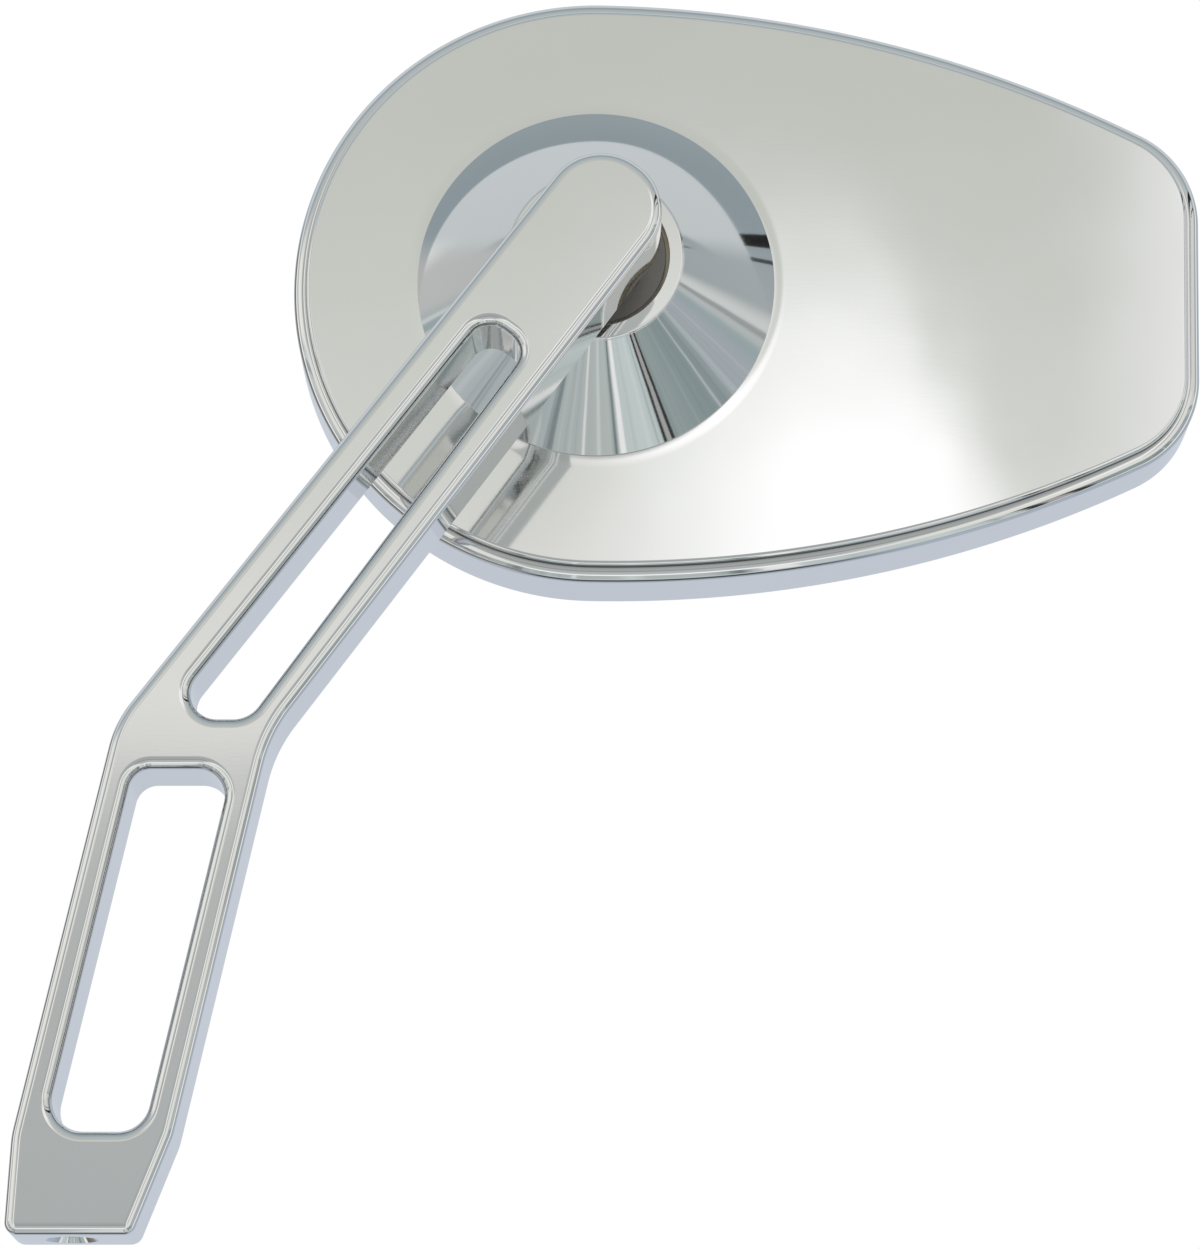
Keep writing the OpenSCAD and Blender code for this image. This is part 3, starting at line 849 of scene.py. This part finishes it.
# The same tent, by the angle round the object from behind the viewer (0) to the right (90)
TENT_ROUND = [
    (-180, (0.46, 0.52, 0.62)),
    (-150, (0.50, 0.54, 0.60)),
    (-132, (0.24, 0.23, 0.22)),
    (-113, (0.16, 0.15, 0.14)),
    (-107, (1.05, 1.05, 1.02)),
    (-98, (1.00, 1.00, 0.98)),
    (-94, (0.56, 0.57, 0.57)),
    (-84, (0.54, 0.55, 0.55)),
    (-76, (0.95, 0.95, 0.92)),
    (-52, (0.90, 0.89, 0.86)),
    (-40, (0.42, 0.43, 0.43)),
    (-30, (0.46, 0.47, 0.47)),
    (-25, (1.15, 1.15, 1.13)),
    (-18, (0.62, 0.63, 0.61)),
    (17, (0.62, 0.63, 0.61)),
    (24, (1.15, 1.15, 1.13)),
    (31, (0.42, 0.43, 0.44)),
    (42, (0.74, 0.74, 0.72)),
    (74, (0.74, 0.74, 0.72)),
    (82, (0.40, 0.44, 0.46)),
    (95, (0.42, 0.46, 0.48)),
    (99, (1.00, 1.00, 0.97)),
    (108, (0.98, 0.98, 0.95)),
    (114, (0.36, 0.40, 0.45)),
    (128, (0.42, 0.47, 0.54)),
    (138, (0.45, 0.51, 0.60)),
    (180, (0.46, 0.52, 0.62)),
]
# What lies below on the viewer's side, by the angle about the line of sight, from the left
# (-180) under the object (-90) to the right (0)
TENT_UNDER = [
    (-180, (0.60, 0.61, 0.61)),
    (-150, (0.46, 0.50, 0.52)),
    (-125, (0.42, 0.47, 0.50)),
    (-104, (0.46, 0.51, 0.51)),
    (-90, (0.48, 0.52, 0.51)),
    (-70, (0.60, 0.67, 0.67)),
    (-61, (0.56, 0.63, 0.63)),
    (-56, (0.32, 0.38, 0.38)),
    (-35, (0.27, 0.33, 0.34)),
    (-18, (0.42, 0.46, 0.50)),
    (-8, (0.36, 0.43, 0.45)),
    (-3, (0.66, 0.68, 0.67)),
    (6, (0.70, 0.71, 0.69)),
    (11, (0.36, 0.43, 0.45)),
]
# The tent's low side panels
TENT_SIDE = (0.86, 0.85, 0.81)
# Narrow things in the tent, by their angle about the line of sight: start, end, tone, and
# whether they hang above the low part
STRIPS = [
    (29.0, 33.5, 0.02, True),
    (23.6, 25.0, 0.06, True),
    (-57.4, -56.0, 0.02, False),
    (-60.8, -59.4, 0.02, False),
    (-59.4, -57.4, 0.42, False),
    (-79.5, -77.0, 0.92, False),
    (-96.0, -94.8, 0.80, False),
]
# Where the parts of the tent take over, as soft steps (from, to) along the axes of a
# direction. Toward is the way to the viewer
ASIDE = (0.2, 0.36)
ROUND_BELOW = (0.55, 0.35)
UNDER_BELOW = (0.16, 0.02)
UNDER_FROM = (-0.16, -0.06)
UNDER_UNTIL = (0.52, 0.44)
SIDE_BELOW = (0.2, 0.1)
SIDE_FROM = (0.44, 0.52)
SIDE_UNTIL = (0.86, 0.76)
STRIPS_FROM = (0.03, 0.06)
STRIPS_UNTIL = (0.93, 0.6)
AHEAD = (0.8, 0.88)
BEHIND = (0.85, 0.95)
# Folds of what lies below: their noise, and at which of its values each tone comes in
FOLD_NOISE = {"Scale": 8.0, "Detail": 4.0, "Roughness": 0.65}
FOLDS = [
    ((0.53, 0.75), (0.66, 0.72, 0.72)),
    ((0.47, 0.28), (0.14, 0.18, 0.19)),
]
# A soft box behind the viewer, which the head's back catches. It fades in from above, from
# below and from the left, and ends at a slanted edge on the right
GLOW_TONE = 1.25
GLOW_ABOVE = (0.335, 0.265)
GLOW_BELOW = (0.20, 0.23)
GLOW_LEFT = (-0.015, 0.045)
GLOW_SLANT = 0.4
GLOW_EDGE = (0.190, 0.174)
# A pale panel to its right
PANEL_TONE = 0.98
PANEL_LEFT = (0.09, 0.125)
PANEL_ABOVE = (0.42, 0.36)
# How much of the paper's white shows in metal and glass
PAPER_SHARE = 0.25

# The floor, and how white it looks from the camera
FLOOR_REACH = 4.0
FLOOR_HEIGHT = -0.30
FLOOR_PAPER = ((0.86, 0.86, 0.87), (0.89, 0.89, 0.90), 0.7, 40, 0.1 * MM)
FLOOR_WHITE = 0.7

# The one lamp, which gives the object its shadow
KEY_PLACE = Vector((0.5, -0.9, 1.2))
KEY_AIM = Vector((0.1, 0.0, 0.12))
KEY_SIZE = 0.6
KEY_POWER = 8


def make_world():
    """The light tent, and the white paper that the camera sees."""
    world = bpy.data.worlds.new("light_tent")
    world.use_nodes = True
    world.node_tree.nodes.clear()
    shader = Shader(world.node_tree)
    way = shader.node("ShaderNodeTexCoord").outputs["Generated"]
    parts = shader.node("ShaderNodeSeparateXYZ", Vector=way).outputs
    toward = shader.math("MULTIPLY", parts["Y"], -1.0)

    def swept(first, second, stops):
        turns = shader.math("DIVIDE", shader.math("ARCTAN2", first, second), 2 * math.pi)
        place = shader.math("ADD", turns, 0.5)
        return shader.ramp(place, [((angle + 180) / 360, colour) for angle, colour in stops])

    over = swept(parts["Z"], toward, TENT_OVER)
    round_it = swept(parts["X"], toward, TENT_ROUND)
    under = swept(parts["Z"], parts["X"], TENT_UNDER)
    aside = shader.step(shader.math("ABSOLUTE", parts["X"]), *ASIDE)
    tone = shader.mix(shader.product(aside, shader.step(parts["Z"], *ROUND_BELOW)), over,
                      round_it)
    # Folds in what lies below show as streaks
    tilt = shader.math("ARCTAN2", parts["Z"], parts["X"])
    folds = shader.node("ShaderNodeTexNoise", {"noise_dimensions": "1D"}, W=tilt,
                        **FOLD_NOISE).outputs["Fac"]
    for values, colour in FOLDS:
        under = shader.mix(shader.step(folds, *values), under, colour)
    low = shader.product(shader.step(parts["Z"], *UNDER_BELOW),
                         shader.step(toward, *UNDER_FROM), shader.step(toward, *UNDER_UNTIL))
    tone = shader.mix(low, tone, under)
    side = shader.product(aside, shader.step(parts["Z"], *SIDE_BELOW),
                          shader.step(toward, *SIDE_FROM), shader.step(toward, *SIDE_UNTIL))
    tone = shader.mix(side, tone, TENT_SIDE)
    high = shader.product(shader.step(toward, *STRIPS_FROM), shader.step(toward, *STRIPS_UNTIL))
    for start, end, strength, above in STRIPS:
        inside = shader.math("COMPARE", tilt, math.radians((start + end) / 2),
                             math.radians((end - start) / 2))
        tone = shader.mix(shader.product(inside, high if above else low), tone,
                          (strength,) * 3)
    ahead = shader.product(shader.step(toward, *AHEAD), shader.step(parts["Z"], *GLOW_BELOW))
    panel = shader.product(ahead, shader.step(parts["X"], *PANEL_LEFT),
                           shader.step(parts["Z"], *PANEL_ABOVE))
    tone = shader.mix(panel, tone, (PANEL_TONE,) * 3)
    slanted = shader.math("MULTIPLY_ADD", parts["Z"], GLOW_SLANT, parts["X"])
    glow = shader.product(ahead, shader.step(parts["Z"], *GLOW_ABOVE),
                          shader.step(parts["X"], *GLOW_LEFT),
                          shader.step(slanted, *GLOW_EDGE))
    tone = shader.mix(glow, tone, (GLOW_TONE,) * 3)
    tent = shader.node("ShaderNodeBackground", Color=tone, Strength=1.0)
    white = shader.node("ShaderNodeBackground", Color=(1, 1, 1, 1), Strength=1.0)
    # The camera sees white paper all round. Metal and glass see that paper behind the
    # object, with the tent's tint on it
    camera, bent = shader.rays()
    behind = shader.product(shader.step(parts["Y"], *BEHIND), bent, PAPER_SHARE)
    both = shader.node("ShaderNodeMixShader", _0=shader.math("MAXIMUM", camera, behind),
                       _1=tent.outputs[0], _2=white.outputs[0])
    shader.node("ShaderNodeOutputWorld", Surface=both.outputs[0])
    bpy.context.scene.world = world


def floor_paper():
    """Pale paper that reads nearly white, but still takes the object's shadow."""
    made = material("pale_floor", matte, *FLOOR_PAPER)
    shader = Shader(made.node_tree)
    output = made.node_tree.nodes["Material Output"].inputs["Surface"]
    paper = output.links[0].from_socket
    camera, bent = shader.rays()
    share = shader.math("MULTIPLY", shader.math("MAXIMUM", camera, bent), FLOOR_WHITE)
    white = shader.node("ShaderNodeEmission", Color=(1, 1, 1, 1), Strength=1.0)
    both = shader.node("ShaderNodeMixShader", _0=share, _1=paper, _2=white.outputs[0])
    shader.join(both.outputs[0], output)
    return made


def make_floor():
    mesh = bpy.data.meshes.new("floor")
    corners = [(x * FLOOR_REACH, y * FLOOR_REACH, FLOOR_HEIGHT)
               for x, y in ((-1, -1), (1, -1), (1, 1), (-1, 1))]
    mesh.from_pydata(corners, [], [(0, 1, 2, 3)])
    mesh.materials.append(floor_paper())
    floor = add("floor", mesh)
    # Metal shows the tent's low parts instead of the floor
    floor.visible_glossy = False


def make_key():
    lamp = bpy.data.lights.new("key", "AREA")
    lamp.shape = "RECTANGLE"
    lamp.size = lamp.size_y = KEY_SIZE
    lamp.energy = KEY_POWER
    holder = add("key", lamp)
    holder.location = KEY_PLACE
    holder.rotation_euler = (KEY_AIM - KEY_PLACE).to_track_quat("-Z", "Y").to_euler()
    holder.visible_glossy = False


def make_camera():
    camera = add("camera", bpy.data.cameras.new("camera"))
    camera.data.lens = CAMERA_LENS
    camera.data.sensor_width = CAMERA_SENSOR
    camera.data.sensor_fit = "HORIZONTAL"
    camera.data.clip_start = CAMERA_NEAR
    way = Vector((0, math.cos(VIEW_RISE), math.sin(VIEW_RISE)))
    camera.location = CAMERA_TARGET - way * CAMERA_DISTANCE
    camera.rotation_euler = (math.pi / 2 + VIEW_RISE, 0, 0)
    bpy.context.scene.camera = camera


make_camera()
make_world()
make_floor()
make_key()
dress_nodes()
make_arm()
make_housing()
make_hub()

bpy.context.scene.view_settings.view_transform = "Standard"
